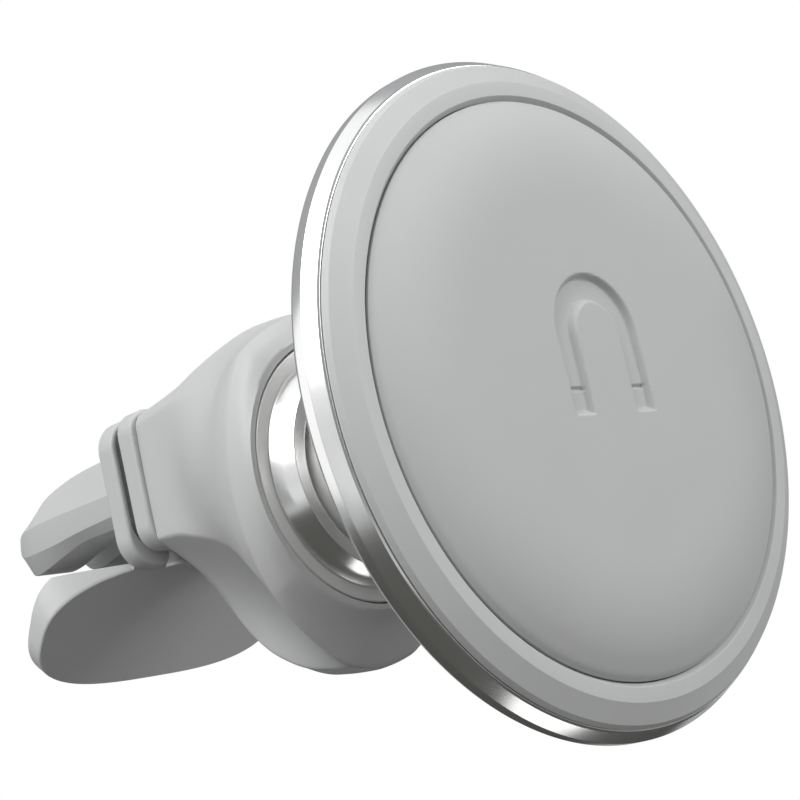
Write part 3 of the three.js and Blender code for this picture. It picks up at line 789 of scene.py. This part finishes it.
def make_clip_base():
    """Base plate, heel block and support foot in one moulding, with a pair of flared pegs."""
    corners = (FRONT_CORNER, BACK_CORNER)
    clip = foot_plate("clip_body", 0, lambda height: 0, foot_thickness, corners, 0.12, 0.25)
    heel = slab("heel", half=4.5, bottom=HEEL_TOP - 2.6, top=HEEL_TOP, corner=0.3,
                y0=-0.5, y1=4.5, front=0.1, back=0.25)
    combine(clip, "UNION", heel)
    ahead_of_foot = block("cut", (-FAR, -10, -FAR_Z), (FAR, 0, FAR_Z), FOOT_TURN, FOOT_Z)
    slat_room = block("cut", (-FAR, 0, HEEL_TOP), (FAR, FAR, HEEL_TOP + FAR))
    combine(clip, "DIFFERENCE", ahead_of_foot, slat_room)
    plate = slab("plate", half=5.55, bottom=-2.1, top=8.35, corner=2.2,
                 y0=GROOVE_BACK, y1=0.1, front=0.25, back=0.25)
    combine(clip, "UNION", plate)
    combine(clip, "DIFFERENCE", core_room(-4, BASE_FRONT + 0.75))
    for x in (-PEG_X, PEG_X):
        combine(clip, "UNION", flared_peg(x, PEG_Y))
    for place in CLIP_SCREW_PLACES:
        combine(clip, "DIFFERENCE", rod("cut", CLIP_SCREW_HOLE, -4, -0.5, place))
    piece(clip, "shell_plastic", "base", "clip_base", crease=30)


def make_foot_pad():
    """The rubber strip behind the foot's lower edge, cut level at its top."""
    thick, top = 0.8, -5.2

    def front(height):
        """Depth of the strip's front, a gap behind the foot."""
        return foot_thickness(height) + GAP

    def back(height):
        """Depth of the strip's back."""
        return front(height) + thick

    pad = foot_plate("foot_cushion", -0.9, front, back, (LOWER_CORNER, LOWER_CORNER), 0.05, 0.3)
    combine(pad, "INTERSECT", block("keep", (-FAR, -FAR, -FAR_Z), (FAR, FAR, top)))
    piece(pad, "dark_rubber", "base", "foot_pad", crease=30)


# Sections of the upper and lower jaws from root to tip: y, inner z, lower and upper z of the side,
# crest z, and half the width. Heights are measured away from the vent slat.
UPPER_JAW = [
    (0.3, 1.15, 2.0, 3.5, 6.4, 5), (4.8, 1.15, 1.8, 3.5, 6.3, 5), (7.4, 0.7, 1.6, 3.5, 6.0, 5),
    (10.2, 0.1, 1.5, 3.4, 5.3, 5), (11.9, 0.2, 1.6, 3.2, 4.3, 4.6), (12.9, 1.0, 1.9, 2.5, 2.9, 4.1)]
LOWER_JAW = [
    (4.8, 1.15, 1.9, 3.3, 4.2, 5), (7.4, 0.7, 1.7, 3.2, 4.0, 5), (9.6, 1.3, 1.6, 2.2, 2.6, 4.4)]


JAW_STEPS = 48
JAW_SPLIT = 1.15  # half the slot between a left and a right jaw


def make_jaw(name, node, stations, side, sign):
    """One jaw; side is 1 on the right and -1 on the left, sign 1 above the slat and -1 below."""
    rings = []
    y0, y1 = stations[0][0], stations[-1][0]
    for k in range(JAW_STEPS + 1):
        y = y0 + (y1 - y0) * k / JAW_STEPS
        inner, low_z, high_z, crest, half = smooth_rows(stations, y)
        outline = [(JAW_SPLIT, inner, 0.1), (half - 0.6, inner, 0.12), (half, low_z, 0.12),
                   (half, high_z, 0.25), (half - 1.7, crest, 0.35), (JAW_SPLIT, crest, 0.25)]
        rings.append([(x * side, y, z * sign) for x, z in filleted(outline, 0.1)])
    jaw = skin(name, rings)
    piece(jaw, "jaw_rubber", "base", node, crease=40)


def make_jaws():
    """The four jaws that grip the vent slat."""
    for side, side_name in ((1, "right"), (-1, "left")):
        make_jaw("grip_upper_" + side_name, "jaw_upper_" + side_name, UPPER_JAW, side, 1)
        make_jaw("grip_lower_" + side_name, "jaw_lower_" + side_name, LOWER_JAW, side, -1)


make_pad()
make_shell()
make_trim()
make_cover()
make_head_screws()
make_ball_joint()
make_socket()
make_housing()
make_isolator()
make_clip_base()
make_foot_pad()
make_jaws()


# ---------------------------------------------------------------- room, light and camera
# Lengths in this section are metres.
FLOOR_Z, FLOOR_HALF = -0.4, 6
FADE_START, FADE_END = 0.42, 1.0  # distances at which the floor begins and ends its fade to white
FLAG_Z, FLAG_HALF = -0.22, 0.45


def card(name, half, z):
    """A level square sheet that stands in the room and isn't part of the object."""
    me = bpy.data.meshes.new(name)
    corners = [(-half, -half, z), (half, -half, z), (half, half, z), (-half, half, z)]
    me.from_pydata(corners, [], [(0, 1, 2, 3)])
    sheet = bpy.data.objects.new(name, me)
    bpy.context.scene.collection.objects.link(sheet)
    return sheet


def glow_where(n, share, strength):
    """Turns a material into white light by a share from 0 to 1."""
    glow = n.add("ShaderNodeEmission", Strength=strength)
    blend = n.add("ShaderNodeMixShader")
    n.link(share, blend.inputs[0])
    n.link(n.shader.outputs[0], blend.inputs[1])
    n.link(glow.outputs[0], blend.inputs[2])
    n.link(blend.outputs[0], n.tree.nodes["Material Output"].inputs["Surface"])


def make_room():
    """A pale floor, which the camera sees fading into the white behind the object."""
    floor = card("floor", FLOOR_HALF, FLOOR_Z)
    n = Nodes("floor_paper")
    n.link(n.ramp(n.noise(3, 2), (0.3, 0.78), (0.7, 0.82)), n.shader.inputs["Base Color"])
    n.set(Roughness=0.9, Specular_IOR_Level=0.1)
    place = n.add("ShaderNodeNewGeometry").outputs["Position"]
    distance = n.add("ShaderNodeVectorMath", operation="LENGTH")
    n.link(place, distance.inputs[0])
    seen = n.add("ShaderNodeLightPath").outputs["Is Camera Ray"]
    fade = n.add("ShaderNodeMath", operation="MULTIPLY")
    n.link(n.ramp(distance.outputs["Value"], (FADE_START, 0.0), (FADE_END, 1.0)), fade.inputs[0])
    n.link(seen, fade.inputs[1])
    glow_where(n, fade.outputs[0], 1.0)
    floor.data.materials.append(n.material)


def make_flag():
    """A card under the object, unseen by the camera: dark above, and lighting the floor below."""
    flag = card("flag", FLAG_HALF, FLAG_Z)
    n = Nodes("flag_card")
    n.set(Base_Color=(0.07, 0.07, 0.065, 1), Roughness=0.9, Specular_IOR_Level=0.0)
    glow_where(n, n.add("ShaderNodeNewGeometry").outputs["Backfacing"], 0.5)
    flag.data.materials.append(n.material)
    flag.visible_camera = False
    flag.visible_shadow = False


def soft_box(name, place, size, radiance, target=(0, -0.025, 0)):
    """A rounded softbox of even radiance, turned to the object."""
    data = bpy.data.lights.new(name, "AREA")
    data.shape = "ELLIPSE"
    data.size, data.size_y = size
    data.energy = radiance * math.pi * size[0] * size[1] * math.pi / 4  # pi x radiance x area
    light = bpy.data.objects.new(name, data)
    light.location = place
    light.rotation_euler = (Vector(target) - Vector(place)).to_track_quat("-Z", "Y").to_euler()
    bpy.context.scene.collection.objects.link(light)


ROOM_BELOW = (0.04, 0.04, 0.04, 1)
ROOM_ABOVE = (0.42, 0.43, 0.44, 1)
WHITE = (1, 1, 1, 1)


def make_world():
    """White for the camera; for everything else a dim room, dark below and paler above."""
    world = bpy.data.worlds.new("studio")
    world.use_nodes = True
    tree = world.node_tree
    nodes, link = tree.nodes, tree.links.new
    room = nodes["Background"]
    coords = nodes.new("ShaderNodeTexCoord")
    split = nodes.new("ShaderNodeSeparateXYZ")
    link(coords.outputs["Generated"], split.inputs[0])
    height = nodes.new("ShaderNodeMapRange")
    height.inputs["From Min"].default_value = -1
    link(split.outputs["Z"], height.inputs["Value"])
    ramp = nodes.new("ShaderNodeValToRGB")
    ramp.color_ramp.elements[0].color = ROOM_BELOW
    ramp.color_ramp.elements[1].color = ROOM_ABOVE
    link(height.outputs[0], ramp.inputs[0])
    link(ramp.outputs[0], room.inputs["Color"])
    backdrop = nodes.new("ShaderNodeBackground")
    backdrop.inputs["Color"].default_value = WHITE
    path = nodes.new("ShaderNodeLightPath")
    choose = nodes.new("ShaderNodeMixShader")
    link(path.outputs["Is Camera Ray"], choose.inputs[0])
    link(room.outputs[0], choose.inputs[1])
    link(backdrop.outputs[0], choose.inputs[2])
    link(choose.outputs[0], nodes["World Output"].inputs["Surface"])
    bpy.context.scene.world = world


CAMERA_PLACE = Vector((-91.7, -108.6, -18.0)) * MM
CAMERA_RIGHT = Vector((0.6899, -0.6893, -0.2212))
CAMERA_UP = Vector((0.0328, -0.2754, 0.9608))
LENS, SENSOR = 90.9, 36  # millimetres of the camera's own


def make_camera():
    """The camera, from its place and from what is right and up in its picture."""
    data = bpy.data.cameras.new("camera")
    data.lens = LENS
    data.sensor_width = SENSOR
    data.clip_start = 0.01
    data.clip_end = 50
    camera = bpy.data.objects.new("camera", data)
    right = CAMERA_RIGHT.normalized()
    back = right.cross(CAMERA_UP).normalized()
    up = back.cross(right)
    turn = Matrix((right, up, back)).transposed().to_4x4()
    camera.matrix_world = Matrix.Translation(CAMERA_PLACE) @ turn
    bpy.context.scene.collection.objects.link(camera)
    bpy.context.scene.camera = camera


make_room()
make_flag()
make_world()
bpy.context.scene.view_settings.view_transform = "Standard"
make_camera()
# Each softbox: its name, its place, its width and height, its radiance, and what it is turned to.
soft_box("key", (0.5, -0.8, 0.42), (0.7, 0.7), 5.2)
soft_box("left_high", (-0.57, -0.12, 0.57), (0.75, 0.75), 4.2)
soft_box("left_card", (-0.75, -0.28, 0.18), (0.7, 1.0), 0.45)
soft_box("back_card", (-0.55, 0.48, 0.14), (0.4, 0.7), 0.8)
soft_box("top", (-0.02, -0.02, 0.8), (0.6, 0.6), 0.6)
soft_box("under_card", (0.047, -0.05, -0.2), (0.1, 0.1), 1.3, (0.047, -0.05, 0))
